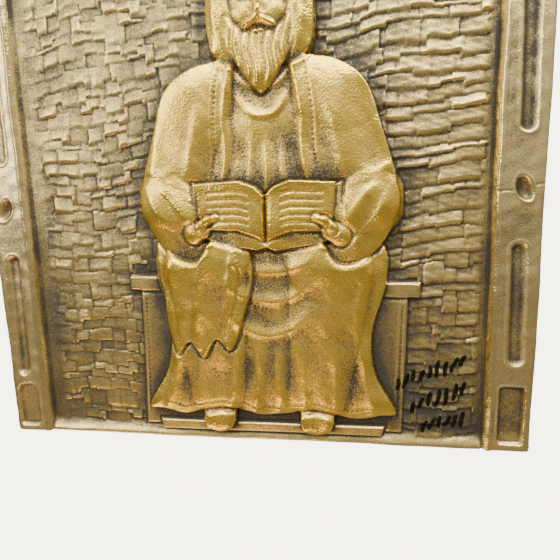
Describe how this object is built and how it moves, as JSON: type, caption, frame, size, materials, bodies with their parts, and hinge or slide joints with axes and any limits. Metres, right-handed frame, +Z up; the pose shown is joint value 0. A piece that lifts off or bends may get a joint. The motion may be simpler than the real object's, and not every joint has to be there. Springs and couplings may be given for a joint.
{
  "type": "brass relief plaque",
  "caption": "Rectangular brass wall plaque worked in relief: a seated reader before a rough stone wall, between side strips with sunk slots; flat back.",
  "frame": {"origin": "centre of the flat back, which lies on the wall", "axes": "+Y out of the back into the wall, the relief faces -Y; +Z up as it hangs; +X to the right seen from the front"},
  "size_m": [0.5, 0.03, 0.455],
  "materials": {
    "aged_brass": "hand-worked brass, bright on the high places, brown to black patina in the hollows"
  },
  "bodies": {
    "root": {"plaque": "aged_brass"}
  },
  "joints": []
}
